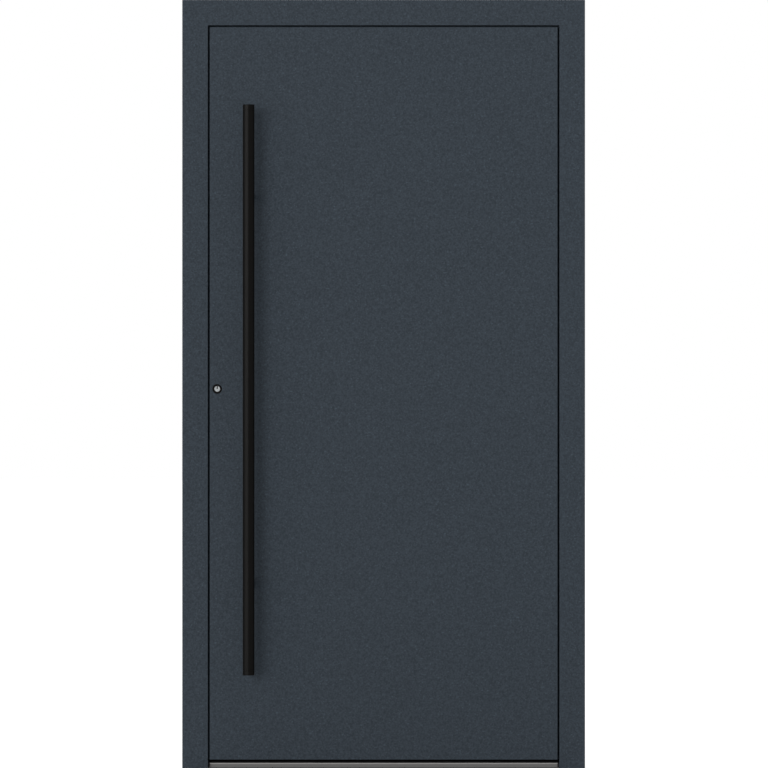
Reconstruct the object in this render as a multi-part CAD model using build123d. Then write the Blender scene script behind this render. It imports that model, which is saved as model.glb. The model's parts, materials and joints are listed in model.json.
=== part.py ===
# Aluminium front door: a flush, insulated leaf that opens inward, in a frame with a low threshold.
# Millimetres. X runs from the lock side to the hinge side, Y from outside to inside, Z up.
# The origin is on the underside of the threshold, midway between the jambs and in mid-depth of the frame.

import os

from build123d import *

# Frame
FRAME_WIDTH = 1100.0
FRAME_HEIGHT = 2100.0
FRAME_DEPTH = 80.0
FRAME_FACE = 70.0
LIP_DEPTH = 26.0
STOP_OVERLAP = 17.0
INNER_STEP_DEPTH = 20.0
INNER_STEP_WIDTH = 13.0
FRAME_OUTER_SHELL = 28.0
FRAME_INNER_SHELL = 28.0
FRAME_WEB = 33.0
WALL_GROOVE_WIDTH = 10.0
WALL_GROOVE_DEPTH = 3.0
EDGE_BREAK = 0.8

# Walls of the hollow profiles, and the insulating bars rolled into them
PROFILE_WALL = 2.0
BREAK_WALL = 5.0
FRAME_BAR = 2.0
LEAF_BAR = 4.0
BAR_INSET = 2.5
BAR_FOOT = 3.0
BAR_FLARE = 1.0

# Gaps between the leaf and its frame
FRONT_GAP = 5.0
CHAMBER_GAP = 11.0
INNER_GAP = 5.0
SEAL_GAP = 5.0
FIT = 0.3

# Seals
SEAL_CLEARANCE = 0.3
SEAL_MARGIN = 1.0
SEAL_BASE = 1.4
SEAL_FIN = 1.6
SEAL_FOOT_WIDTH = 4.0
SEAL_FOOT_DEPTH = 2.5
BOTTOM_SEAL_WIDTH = 24.0
BOTTOM_SEAL_PITCH = 7.0

# Leaf
LEAF_FOOT = 24.5
SKIN = 3.0
STILE_WIDTH = 65.0
BOTTOM_RAIL_HEIGHT = 80.0
LEAF_OUTER_SHELL = 36.0
LEAF_INNER_SHELL = 26.0

# Threshold
THRESHOLD_SETBACK = 16.0
NOSE_HEIGHT = 15.5
NOSE_RADIUS = 1.0
THRESHOLD_HEIGHT = 18.0
THRESHOLD_CHAMFER = 3.0
OUTER_RAIL_DEPTH = 14.0
INNER_RAIL_DEPTH = 26.0
RAIL_WALL = 2.0
RAIL_CAP = 4.0
TOE_HEIGHT = 1.5
TOE_DEPTH = 2.0
END_BLOCK = 5.0
CORE_RAMP = 4.0
TONGUE_FOOT = 4.0
TONGUE_HEIGHT = 5.0
TREAD_GROOVE_COUNT = 3
TREAD_GROOVE_PITCH = 3.0
TREAD_GROOVE = 1.0

# Frame fixings
FIXING_RADIUS = 5.2
FIXING_INSETS = (250.0, 750.0)
ACCESS_SLOT = 14.0

# Hinges
HINGE_INSET = 230.0
HINGE_OFFSET = 11.0
BARREL_RADIUS = 10.0
PIN_RADIUS = 5.0
PIN_CLEARANCE = 0.15
KNUCKLE_HEIGHT = 40.0
LEAF_KNUCKLE_HEIGHT = 68.0
KNUCKLE_GAP = 0.5
ARM_NEAR = 3.0
ARM_FAR = 12.0
HINGE_PLATE_WIDTH = 26.0
HINGE_PLATE = 6.0
HINGE_PLATE_CORNER = 3.0
BARREL_CLEARANCE = 0.6
HINGE_CAP = 3.0

# Lock
BACKSET = 31.5
LOCK_HEIGHT = 1037.0
SPINDLE_RISE = 92.0
FACEPLATE_WIDTH = 24.0
FACEPLATE = 3.0
FACEPLATE_INSET = 300.0
BOLT_INSET = 80.0
BOLT_THICKNESS = 12.0
BOLT_HEIGHT = 30.0
BOLT_DEPTH = 14.0
LATCH_DROP = 12.0
LATCH_SLOPE = 8.0
LATCH_FLAT = 2.0
STRIKE = 3.0
STRIKE_MARGIN = 40.0
STRIKE_POCKET = 20.0
LOCK_CASE_DEPTH = 50.0
LOCK_CASE_FOOT = 70.0
LOCK_CASE_HEAD = 50.0

# Lock cylinder
CYLINDER_RADIUS = 8.5
CYLINDER_HEIGHT = 33.0
CYLINDER_LUG = 10.0
CYLINDER_PROUD = 1.0
CORE_PROUD = 0.6
PLUG_RADIUS = 7.5
PLUG_CLEARANCE = 0.15
PLUG_LENGTH = 34.0
KEYWAY_WIDTH = 3.0
KEYWAY_DEPTH = 26.0
RING_RADIUS = 13.0
RING_PROUD = 1.0

# Inside handle
ROSETTE_RADIUS = 26.0
ROSETTE = 8.0
LEVER_RADIUS = 9.5
LEVER_REACH = 52.0
LEVER_LENGTH = 128.0

# Pull bar
PULL_RADIUS = 16.0
PULL_INSET = 107.5
PULL_FOOT = 233.0
PULL_HEAD = 214.0
PULL_REACH = 65.0
PULL_CHAMFER = 1.0
STANDOFF_RADIUS = 10.0
STANDOFF_INSET = 250.0

# Places worked out from the sizes above
HALF_WIDTH = FRAME_WIDTH / 2
OUTSIDE = -FRAME_DEPTH / 2
INSIDE = FRAME_DEPTH / 2
LIP_BACK = OUTSIDE + LIP_DEPTH
REBATE_BACK = INSIDE - INNER_STEP_DEPTH
REBATE_FACE = FRAME_FACE - STOP_OVERLAP
INNER_FACE = REBATE_FACE - INNER_STEP_WIDTH
FRAME_BREAK_FRONT = OUTSIDE + FRAME_OUTER_SHELL
FRAME_BREAK_BACK = INSIDE - FRAME_INNER_SHELL

LEAF_FACE = FRAME_FACE + FRONT_GAP
LEAF_EDGE = REBATE_FACE + CHAMBER_GAP
LEAF_LIP = INNER_FACE + INNER_GAP
LEAF_STEP_FRONT = LIP_BACK + SEAL_GAP
LEAF_STEP_BACK = REBATE_BACK + SEAL_GAP
LEAF_BREAK_FRONT = OUTSIDE + LEAF_OUTER_SHELL
LEAF_BREAK_BACK = INSIDE - LEAF_INNER_SHELL
STILE_BACK = LEAF_FACE + STILE_WIDTH
SKIN_BACK = OUTSIDE + SKIN
SKIN_FRONT = INSIDE - SKIN
LEAF_HALF_FACE = HALF_WIDTH - LEAF_FACE
LEAF_HALF_LIP = HALF_WIDTH - LEAF_LIP
LEAF_HEAD = FRAME_HEIGHT - LEAF_FACE
CORE_HALF = HALF_WIDTH - STILE_BACK
BOTTOM_RAIL_TOP = LEAF_FOOT + BOTTOM_RAIL_HEIGHT

NOSE = OUTSIDE + THRESHOLD_SETBACK
OUTER_RAIL_BACK = NOSE + OUTER_RAIL_DEPTH
INNER_RAIL_FRONT = INSIDE - INNER_RAIL_DEPTH

FIXING_HEIGHTS = FIXING_INSETS + tuple(FRAME_HEIGHT - inset for inset in FIXING_INSETS)
HINGE_HEIGHTS = {"bottom": HINGE_INSET, "middle": FRAME_HEIGHT / 2, "top": FRAME_HEIGHT - HINGE_INSET}
HINGE_X = HALF_WIDTH - (INNER_FACE + LEAF_LIP) / 2
HINGE_Y = INSIDE + HINGE_OFFSET

LOCK_EDGE = -(HALF_WIDTH - LEAF_EDGE)
STRIKE_FACE = -(HALF_WIDTH - REBATE_FACE)
LOCK_X = LOCK_EDGE + BACKSET
LOCK_Y = (LEAF_STEP_FRONT + LEAF_STEP_BACK) / 2
SPINDLE_HEIGHT = LOCK_HEIGHT + SPINDLE_RISE
LATCH_HEIGHT = SPINDLE_HEIGHT - LATCH_DROP
FACEPLATE_LOW = LEAF_FOOT + FACEPLATE_INSET
FACEPLATE_HIGH = LEAF_HEAD - FACEPLATE_INSET
OUTER_BOLT_HEIGHTS = (FACEPLATE_LOW + BOLT_INSET, FACEPLATE_HIGH - BOLT_INSET)
LATCH_AND_BOLT_HEIGHTS = OUTER_BOLT_HEIGHTS + (LOCK_HEIGHT, LATCH_HEIGHT)
CORE_FRONT = OUTSIDE - CORE_PROUD
CYLINDER_BACK = INSIDE + ROSETTE + CYLINDER_PROUD

PULL_X = -LEAF_HALF_FACE + PULL_INSET
PULL_Y = OUTSIDE - PULL_REACH
PULL_LOW = LEAF_FOOT + PULL_FOOT
PULL_HIGH = LEAF_HEAD - PULL_HEAD

MITRE_HINGE = Plane(origin=(HALF_WIDTH, 0, FRAME_HEIGHT), z_dir=(1, 0, -1))
MITRE_LOCK = Plane(origin=(-HALF_WIDTH, 0, FRAME_HEIGHT), z_dir=(-1, 0, -1))
SIDE_RUN = Plane(origin=(HALF_WIDTH, 0, FRAME_HEIGHT), x_dir=(-1, 0, 0), z_dir=(0, 0, -1))
HEAD_RUN = Plane(origin=(-HALF_WIDTH, 0, FRAME_HEIGHT), x_dir=(0, 0, -1), z_dir=(1, 0, 0))
FOOT_RUN = Plane(origin=(CORE_HALF, 0, 0), x_dir=(0, 0, 1), z_dir=(-1, 0, 0))


# Shared forms
def block(near, far, front, back):
    """Rectangle of a section, by distance from the frame's outer edge and by depth."""
    return Pos((near + far) / 2, (front + back) / 2) * Rectangle(far - near, back - front)


def outline(*points):
    """Face inside a closed line of straight runs."""
    return make_face(Polyline(*points, close=True))


def box(x, y, z):
    """Box between the two ends given on each axis."""
    size = (x[1] - x[0], y[1] - y[0], z[1] - z[0])
    centre = ((x[0] + x[1]) / 2, (y[0] + y[1]) / 2, (z[0] + z[1]) / 2)
    return Pos(*centre) * Box(*size)


def hollow(body, chambers, *grooves):
    """Extruded profile: its chambers keep a wall around each groove."""
    wall = PROFILE_WALL
    for near, far, front, back in grooves:
        body -= block(near, far, front, back)
        chambers -= block(near - wall, far + wall, front - wall, back + wall)
    return body - chambers


def hinge_side(section, foot):
    """Section run down the hinge side from its mitre to the foot."""
    run = extrude(SIDE_RUN * section, amount=FRAME_HEIGHT - foot)
    return split(run, bisect_by=MITRE_HINGE, keep=Keep.TOP)


def lock_side(section, foot):
    """Section run down the lock side."""
    return mirror(hinge_side(section, foot), about=Plane.YZ)


def head_side(section):
    """Section run across the head between its two mitres."""
    run = extrude(HEAD_RUN * section, amount=FRAME_WIDTH)
    run = split(run, bisect_by=MITRE_HINGE, keep=Keep.BOTTOM)
    return split(run, bisect_by=MITRE_LOCK, keep=Keep.BOTTOM)


def foot_side(section):
    """Section run along the foot of the leaf between its stiles."""
    return extrude(FOOT_RUN * section, amount=2 * CORE_HALF)


def across(section, half_length):
    """Section drawn in Y and Z, run across the doorway."""
    return extrude(Plane.YZ.offset(-half_length) * section, amount=2 * half_length)


def rod_y(radius, x, z, start, end):
    """Round rod along Y."""
    return Pos(x, (start + end) / 2, z) * Rot(90, 0, 0) * Cylinder(radius, end - start)


def rod_z(radius, x, y, start, end):
    """Round rod along Z."""
    return Pos(x, y, (start + end) / 2) * Cylinder(radius, end - start)


# Insulating bars
def bar(near, thickness, front, back):
    """Insulating bar: a web with a dovetail foot rolled into each shell."""
    far = near + thickness
    shape = block(near, far, front, back)
    for mouth, side in ((front, -1), (back, 1)):
        sole = mouth + side * BAR_FOOT
        shape += outline((near, mouth), (far, mouth), (far + BAR_FLARE, sole), (near - BAR_FLARE, sole))
    return shape


def bar_pair(near, far, thickness, front, back):
    """The two bars that join a pair of shells."""
    return (bar(near + BAR_INSET, thickness, front, back)
            + bar(far - BAR_INSET - thickness, thickness, front, back))


def frame_bars():
    return bar_pair(0, REBATE_FACE, FRAME_BAR, FRAME_BREAK_FRONT, FRAME_BREAK_BACK)


def stile_bars():
    return bar_pair(LEAF_EDGE, STILE_BACK, LEAF_BAR, LEAF_BREAK_FRONT, LEAF_BREAK_BACK)


def foot_bars():
    return bar_pair(LEAF_FOOT, BOTTOM_RAIL_TOP, LEAF_BAR, LEAF_BREAK_FRONT, LEAF_BREAK_BACK)


# Frame
def seal_groove(near, far, back):
    """Edges of the groove that holds a seal's foot, opening inward at the depth given."""
    middle = (near + far) / 2
    return (middle - SEAL_FOOT_WIDTH / 2, middle + SEAL_FOOT_WIDTH / 2, back - SEAL_FOOT_DEPTH, back)


def wall_groove(front, back):
    """Edges of the groove for wall clips, midway between two depths of the frame's outer side."""
    middle = (front + back) / 2
    return (0, WALL_GROOVE_DEPTH, middle - WALL_GROOVE_WIDTH / 2, middle + WALL_GROOVE_WIDTH / 2)


def frame_outer_section():
    """Outer aluminium shell of the frame, with the lip that the leaf closes behind."""
    body = outline((0, OUTSIDE + EDGE_BREAK), (EDGE_BREAK, OUTSIDE), (FRAME_FACE - EDGE_BREAK, OUTSIDE),
                   (FRAME_FACE, OUTSIDE + EDGE_BREAK), (FRAME_FACE, LIP_BACK), (REBATE_FACE, LIP_BACK),
                   (REBATE_FACE, FRAME_BREAK_FRONT), (0, FRAME_BREAK_FRONT))
    front = OUTSIDE + PROFILE_WALL
    back = FRAME_BREAK_FRONT - BREAK_WALL
    chambers = block(PROFILE_WALL, FRAME_WEB, front, back)
    chambers += block(FRAME_WEB + PROFILE_WALL, FRAME_FACE - PROFILE_WALL, front, back)
    profile = hollow(body, chambers, seal_groove(REBATE_FACE, FRAME_FACE, LIP_BACK),
                     wall_groove(OUTSIDE, FRAME_BREAK_FRONT))
    return profile - frame_bars()


def frame_inner_section():
    """Inner aluminium shell of the frame, stepped for the leaf's inner lip."""
    body = outline((0, FRAME_BREAK_BACK), (REBATE_FACE, FRAME_BREAK_BACK), (REBATE_FACE, REBATE_BACK),
                   (INNER_FACE, REBATE_BACK), (INNER_FACE, INSIDE - EDGE_BREAK),
                   (INNER_FACE - EDGE_BREAK, INSIDE), (EDGE_BREAK, INSIDE), (0, INSIDE - EDGE_BREAK))
    chambers = block(PROFILE_WALL, INNER_FACE - PROFILE_WALL, FRAME_BREAK_BACK + BREAK_WALL,
                     INSIDE - PROFILE_WALL)
    profile = hollow(body, chambers, seal_groove(INNER_FACE, REBATE_FACE, REBATE_BACK),
                     wall_groove(FRAME_BREAK_BACK, INSIDE))
    return profile - frame_bars()


def fixing_holes():
    """Anchor holes in a jamb's wall-side bar, with a slot for each in the bar beside the leaf."""
    reach = BAR_INSET + FRAME_BAR
    rebate = HALF_WIDTH - REBATE_FACE
    half = ACCESS_SLOT / 2
    holes = [Pos(HALF_WIDTH - reach / 2, 0, height) * Rot(0, 90, 0) * Cylinder(FIXING_RADIUS, reach)
             for height in FIXING_HEIGHTS]
    slots = [box((rebate, rebate + reach), (-half, half), (height - half, height + half))
             for height in FIXING_HEIGHTS]
    return Part() + holes + slots


def strike_pocket(height):
    """Pocket in the lock jamb that a bolt or the latch enters."""
    half = BOLT_HEIGHT / 2 + STRIKE
    return box((STRIKE_FACE - STRIKE_POCKET, STRIKE_FACE + STRIKE),
               (LOCK_Y - BOLT_THICKNESS / 2 - FIT, LOCK_Y + BOLT_THICKNESS / 2 + FIT),
               (height - half, height + half))


def strike_pockets():
    return Part() + [strike_pocket(height) for height in LATCH_AND_BOLT_HEIGHTS]


def strike_plate(low, high):
    """Plate on the lock jamb, facing the lock's faceplate."""
    return box((STRIKE_FACE, STRIKE_FACE + STRIKE),
               (LOCK_Y - FACEPLATE_WIDTH / 2, LOCK_Y + FACEPLATE_WIDTH / 2),
               (low - STRIKE_MARGIN, high + STRIKE_MARGIN))


def strikes():
    """Strike for the latch and the middle bolt, and the pair for the outer bolts."""
    outer = Part() + [strike_plate(height, height) for height in OUTER_BOLT_HEIGHTS]
    return {
        "latch_strike": strike_plate(LOCK_HEIGHT, LATCH_HEIGHT) - strike_pockets(),
        "bolt_strikes": outer - strike_pockets(),
    }


def frame_members():
    """Jambs and head, each of an outer shell, insulating bars and an inner shell."""
    sections = {
        "outer_shell": frame_outer_section(),
        "insulation": frame_bars(),
        "inner_shell": frame_inner_section(),
    }
    holes = fixing_holes()
    nodes = {}
    for name, section in sections.items():
        nodes[f"hinge_jamb_{name}"] = hinge_side(section, 0)
        nodes[f"lock_jamb_{name}"] = lock_side(section, 0) - strike_pockets()
        nodes[f"head_{name}"] = head_side(section)
    nodes["hinge_jamb_insulation"] -= holes
    nodes["lock_jamb_insulation"] -= mirror(holes, about=Plane.YZ)
    return nodes


# Seals
def frame_seal_section(near, far, back, crest):
    """Seal with its foot in the frame's groove and a fin that leans to its crest, just clear of the leaf."""
    seat = near + SEAL_MARGIN
    edge = far - SEAL_MARGIN
    base = back + SEAL_BASE
    fin = outline((seat, base), (seat + 2 * SEAL_FIN, base), (edge, crest - SEAL_FIN), (edge, crest),
                  (edge - SEAL_FIN, crest))
    return block(seat, edge, back, base) + fin + block(*seal_groove(near, far, back))


def gaskets():
    """Stop seal on the frame's lip and inner seal on its inner step, on each jamb and across the head."""
    stop_crest = LEAF_STEP_FRONT - SEAL_CLEARANCE
    inner_crest = LEAF_STEP_BACK - SEAL_CLEARANCE
    sections = {
        "stop_gasket": frame_seal_section(REBATE_FACE, FRAME_FACE, LIP_BACK, stop_crest),
        "inner_gasket": frame_seal_section(INNER_FACE, REBATE_FACE, REBATE_BACK, inner_crest),
    }
    nodes = {}
    for name, section in sections.items():
        nodes[f"hinge_jamb_{name}"] = hinge_side(section, THRESHOLD_HEIGHT)
        nodes[f"lock_jamb_{name}"] = lock_side(section, THRESHOLD_HEIGHT)
        nodes[f"head_{name}"] = head_side(section)
    return nodes


def leaf_bottom_seal():
    """Seal under the leaf: a strip with three fins, just clear of the threshold."""
    middle = (LEAF_BREAK_FRONT + LEAF_BREAK_BACK) / 2
    strip = block(middle - BOTTOM_SEAL_WIDTH / 2, middle + BOTTOM_SEAL_WIDTH / 2, LEAF_FOOT - SEAL_BASE,
                  LEAF_FOOT)
    for place in (-1, 0, 1):
        fin = middle + place * BOTTOM_SEAL_PITCH
        strip += block(fin - SEAL_FIN / 2, fin + SEAL_FIN / 2, THRESHOLD_HEIGHT + SEAL_CLEARANCE,
                       LEAF_FOOT - SEAL_BASE)
    return across(strip, LEAF_HALF_FACE)


# Threshold
def threshold_outline():
    """Whole cross-section: a rounded nose with a small toe, a ramp and a chamfered inner edge."""
    whole = outline((NOSE + TOE_DEPTH, 0), (INSIDE, 0), (INSIDE, THRESHOLD_HEIGHT - THRESHOLD_CHAMFER),
                    (INSIDE - THRESHOLD_CHAMFER, THRESHOLD_HEIGHT),
                    (OUTER_RAIL_BACK + CORE_RAMP, THRESHOLD_HEIGHT), (OUTER_RAIL_BACK, NOSE_HEIGHT),
                    (NOSE, NOSE_HEIGHT), (NOSE, TOE_HEIGHT), (NOSE + TOE_DEPTH, TOE_HEIGHT))
    corner = whole.vertices().sort_by_distance((NOSE, NOSE_HEIGHT, 0))[0]
    return fillet(corner, NOSE_RADIUS)


def tread_grooves(front, back, top):
    """Shallow grooves along the top of a rail."""
    middle = (front + back) / 2
    first = middle - TREAD_GROOVE_PITCH * (TREAD_GROOVE_COUNT - 1) / 2
    centres = [first + step * TREAD_GROOVE_PITCH for step in range(TREAD_GROOVE_COUNT)]
    return Sketch() + [block(centre - TREAD_GROOVE / 2, centre + TREAD_GROOVE / 2, top - TREAD_GROOVE, top)
                       for centre in centres]


def threshold():
    """Outer rail, insulating core with a tongue in each rail, inner rail and end blocks."""
    half = HALF_WIDTH - FRAME_FACE - END_BLOCK
    whole = threshold_outline()
    core_space = block(OUTER_RAIL_BACK, INNER_RAIL_FRONT, 0, THRESHOLD_HEIGHT)
    tongues = block(OUTER_RAIL_BACK - BAR_FOOT, INNER_RAIL_FRONT + BAR_FOOT, TONGUE_FOOT,
                    TONGUE_FOOT + TONGUE_HEIGHT)
    outer = whole & block(NOSE, OUTER_RAIL_BACK, 0, NOSE_HEIGHT)
    outer -= block(NOSE + RAIL_WALL, OUTER_RAIL_BACK - BREAK_WALL, TOE_HEIGHT + RAIL_WALL,
                   NOSE_HEIGHT - RAIL_CAP)
    outer -= tread_grooves(NOSE + NOSE_RADIUS, OUTER_RAIL_BACK, NOSE_HEIGHT)
    inner = whole & block(INNER_RAIL_FRONT, INSIDE, 0, THRESHOLD_HEIGHT)
    inner -= block(INNER_RAIL_FRONT + BREAK_WALL, INSIDE - RAIL_WALL, RAIL_WALL, THRESHOLD_HEIGHT - RAIL_CAP)
    inner -= tread_grooves(INNER_RAIL_FRONT, INSIDE - THRESHOLD_CHAMFER, THRESHOLD_HEIGHT)
    return {
        "threshold_outer_rail": across(outer - tongues, half),
        "threshold_core": across((whole & core_space) + tongues, half),
        "threshold_inner_rail": across(inner - tongues, half),
        "threshold_end_blocks": end_blocks(whole, half),
    }


def end_blocks(whole, half):
    """Blocks that fit the threshold's ends to the stepped jambs."""
    lip = HALF_WIDTH - FRAME_FACE
    rebate = HALF_WIDTH - REBATE_FACE
    step = HALF_WIDTH - INNER_FACE
    plan = outline((half, NOSE), (lip, NOSE), (lip, LIP_BACK), (rebate, LIP_BACK), (rebate, REBATE_BACK),
                   (step, REBATE_BACK), (step, INSIDE), (half, INSIDE))
    hinge_end = extrude(plan, amount=THRESHOLD_HEIGHT) & across(whole, HALF_WIDTH)
    return hinge_end + mirror(hinge_end, about=Plane.YZ)


# Leaf
def leaf_outer_section():
    """Outer aluminium shell of the leaf's frame, with the flange that meets the stop seal."""
    body = block(LEAF_FACE, STILE_BACK, SKIN_BACK, LEAF_BREAK_FRONT)
    body += block(LEAF_EDGE, LEAF_FACE, LEAF_STEP_FRONT, LEAF_BREAK_FRONT)
    chamber = block(LEAF_FACE + PROFILE_WALL, STILE_BACK - PROFILE_WALL, SKIN_BACK + PROFILE_WALL,
                    LEAF_BREAK_FRONT - BREAK_WALL)
    return body - chamber - stile_bars()


def leaf_inner_section():
    """Inner aluminium shell of the leaf's frame, with the lip that covers the frame's inner step."""
    body = block(LEAF_EDGE, STILE_BACK, LEAF_BREAK_BACK, SKIN_FRONT)
    body += block(LEAF_LIP, LEAF_EDGE, LEAF_STEP_BACK, SKIN_FRONT)
    back = SKIN_FRONT - PROFILE_WALL
    chambers = block(LEAF_EDGE + PROFILE_WALL, STILE_BACK - PROFILE_WALL, LEAF_BREAK_BACK + BREAK_WALL, back)
    chambers += block(LEAF_LIP + PROFILE_WALL, LEAF_EDGE, LEAF_STEP_BACK + PROFILE_WALL, back)
    return body - chambers - stile_bars()


def bottom_rail():
    """Outer and inner tubes along the foot of the leaf."""
    wall = PROFILE_WALL
    low, high = LEAF_FOOT, BOTTOM_RAIL_TOP
    outer = block(low, high, SKIN_BACK, LEAF_BREAK_FRONT)
    outer -= block(low + wall, high - wall, SKIN_BACK + wall, LEAF_BREAK_FRONT - BREAK_WALL)
    inner = block(low, high, LEAF_BREAK_BACK, SKIN_FRONT)
    inner -= block(low + wall, high - wall, LEAF_BREAK_BACK + BREAK_WALL, SKIN_FRONT - wall)
    return foot_side(outer - foot_bars()) + foot_side(inner - foot_bars())


def leaf_skins(keyhole):
    """Sheets that cover the leaf outside and inside, with a broken edge all round."""
    outer = box((-LEAF_HALF_FACE, LEAF_HALF_FACE), (OUTSIDE, SKIN_BACK), (LEAF_FOOT, LEAF_HEAD))
    outer = chamfer(outer.faces().sort_by(Axis.Y)[0].edges(), EDGE_BREAK)
    inner = box((-LEAF_HALF_LIP, LEAF_HALF_LIP), (SKIN_FRONT, INSIDE), (LEAF_FOOT, FRAME_HEIGHT - LEAF_LIP))
    inner = chamfer(inner.faces().sort_by(Axis.Y)[-1].edges(), EDGE_BREAK)
    ring_hole = rod_y(RING_RADIUS + FIT, LOCK_X, LOCK_HEIGHT, OUTSIDE, SKIN_BACK)
    return {"leaf_outer_skin": outer - ring_hole, "leaf_inner_skin": inner - keyhole}


def leaf_members():
    """Stiles, rails, insulating bars, core and skins."""
    shells = (leaf_outer_section(), leaf_inner_section())
    bars = stile_bars()
    bolts = [bolt_body(height, FIT) for height in LATCH_AND_BOLT_HEIGHTS]
    mortise = Part() + [faceplate_blank(FIT)] + bolts
    keyhole = cylinder_profile(OUTSIDE, CYLINDER_BACK, FIT)
    lock_cuts = mortise + keyhole + lock_case_space()
    stile = Part() + [hinge_side(shell, LEAF_FOOT) for shell in shells]
    sides = [hinge_side(bars, LEAF_FOOT), lock_side(bars, LEAF_FOOT), head_side(bars), foot_side(foot_bars())]
    return {
        "leaf_hinge_stile": stile,
        "leaf_lock_stile": mirror(stile, about=Plane.YZ) - lock_cuts,
        "leaf_top_rail": Part() + [head_side(shell) for shell in shells],
        "leaf_bottom_rail": bottom_rail(),
        "leaf_insulation": Part() + sides - lock_cuts,
        "leaf_core": box((-CORE_HALF, CORE_HALF), (SKIN_BACK, SKIN_FRONT),
                         (BOTTOM_RAIL_TOP, FRAME_HEIGHT - STILE_BACK)),
        "leaf_bottom_seal": leaf_bottom_seal(),
    } | leaf_skins(keyhole)


# Lock
def bolt_body(height, clearance=0.0):
    """A bolt drawn in flush with the faceplate, or its hole with a clearance."""
    return box((LOCK_EDGE - clearance, LOCK_EDGE + BOLT_DEPTH + clearance),
               (LOCK_Y - BOLT_THICKNESS / 2 - clearance, LOCK_Y + BOLT_THICKNESS / 2 + clearance),
               (height - BOLT_HEIGHT / 2 - clearance, height + BOLT_HEIGHT / 2 + clearance))


def latch_bevel():
    """Wedge cut from the latch's outer side, which slides over the strike as the leaf closes."""
    front = LOCK_Y - BOLT_THICKNESS / 2
    wedge = outline((LOCK_EDGE, front), (LOCK_EDGE + LATCH_SLOPE, front),
                    (LOCK_EDGE, LOCK_Y + BOLT_THICKNESS / 2 - LATCH_FLAT))
    return Pos(0, 0, LATCH_HEIGHT - BOLT_HEIGHT / 2) * extrude(wedge, amount=BOLT_HEIGHT)


def faceplate_blank(clearance=0.0):
    """The faceplate before its holes, or its recess with a clearance."""
    return box((LOCK_EDGE - clearance, LOCK_EDGE + FACEPLATE),
               (LOCK_Y - FACEPLATE_WIDTH / 2 - clearance, LOCK_Y + FACEPLATE_WIDTH / 2 + clearance),
               (FACEPLATE_LOW - clearance, FACEPLATE_HIGH + clearance))


def lock_case_space():
    """Space milled in the lock stile's hidden walls, where the lock case sits."""
    return box((-(HALF_WIDTH - LEAF_FACE - PROFILE_WALL), LOCK_EDGE + LOCK_CASE_DEPTH),
               (LEAF_BREAK_FRONT - BREAK_WALL, LEAF_BREAK_BACK + BREAK_WALL),
               (LOCK_HEIGHT - LOCK_CASE_FOOT, SPINDLE_HEIGHT + LOCK_CASE_HEAD))


def cylinder_profile(start, end, clearance=0.0):
    """Round barrel with the lug that hangs under it."""
    barrel = rod_y(CYLINDER_RADIUS + clearance, LOCK_X, LOCK_HEIGHT, start, end)
    lug_half = CYLINDER_LUG / 2 + clearance
    lug_foot = LOCK_HEIGHT + CYLINDER_RADIUS - CYLINDER_HEIGHT + CYLINDER_LUG / 2
    lug = box((LOCK_X - lug_half, LOCK_X + lug_half), (start, end), (lug_foot, LOCK_HEIGHT))
    return barrel + lug + rod_y(lug_half, LOCK_X, lug_foot, start, end)


def keyway(start, end):
    """Slot for the key, from the middle of the plug to its rim."""
    return box((LOCK_X - KEYWAY_WIDTH / 2, LOCK_X + KEYWAY_WIDTH / 2), (start, end),
               (LOCK_HEIGHT, LOCK_HEIGHT + PLUG_RADIUS))


def lock_cylinder():
    """Profile cylinder, bored for the turning plug outside and slotted for the key inside."""
    cylinder = cylinder_profile(SKIN_BACK + FIT, CYLINDER_BACK)
    cylinder += rod_y(CYLINDER_RADIUS, LOCK_X, LOCK_HEIGHT, CORE_FRONT, SKIN_BACK + FIT)
    cylinder -= rod_y(PLUG_RADIUS + PLUG_CLEARANCE, LOCK_X, LOCK_HEIGHT, CORE_FRONT,
                      CORE_FRONT + PLUG_LENGTH + FIT)
    return cylinder - keyway(CYLINDER_BACK - KEYWAY_DEPTH, CYLINDER_BACK)


def rosette(height):
    """Round cover plate on the inside face."""
    return rod_y(ROSETTE_RADIUS, LOCK_X, height, INSIDE, INSIDE + ROSETTE)


def lock_parts():
    """Faceplate, bolts, cylinder, its turning plug and the ring around its outer end."""
    holes = Part() + [bolt_body(height, FIT) for height in LATCH_AND_BOLT_HEIGHTS]
    bolts = Part() + [bolt_body(height) for height in LATCH_AND_BOLT_HEIGHTS]
    plug = rod_y(PLUG_RADIUS, LOCK_X, LOCK_HEIGHT, CORE_FRONT, CORE_FRONT + PLUG_LENGTH)
    ring = rod_y(RING_RADIUS, LOCK_X, LOCK_HEIGHT, OUTSIDE - RING_PROUD, SKIN_BACK)
    ring -= rod_y(CYLINDER_RADIUS + FIT, LOCK_X, LOCK_HEIGHT, OUTSIDE - RING_PROUD, SKIN_BACK)
    return {
        "lock_faceplate": faceplate_blank() - holes,
        "lock_bolts": bolts - latch_bevel(),
        "lock_cylinder": lock_cylinder(),
        "lock_plug": plug - keyway(CORE_FRONT, CORE_FRONT + KEYWAY_DEPTH),
        "cylinder_ring": ring,
        "cylinder_rosette": rosette(LOCK_HEIGHT) - cylinder_profile(INSIDE, INSIDE + ROSETTE, FIT),
    }


# Handles
def inside_handle():
    """Lever of round bar with a mitred corner, standing on its round rosette."""
    foot = INSIDE + ROSETTE
    reach = INSIDE + LEVER_REACH
    path = Polyline((LOCK_X, foot, SPINDLE_HEIGHT), (LOCK_X, reach, SPINDLE_HEIGHT),
                    (LOCK_X + LEVER_LENGTH, reach, SPINDLE_HEIGHT))
    start = Plane(origin=(LOCK_X, foot, SPINDLE_HEIGHT), z_dir=(0, 1, 0))
    lever = sweep(start * Circle(LEVER_RADIUS), path, transition=Transition.RIGHT)
    return {"lever_rosette": rosette(SPINDLE_HEIGHT), "lever_handle": lever}


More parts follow.
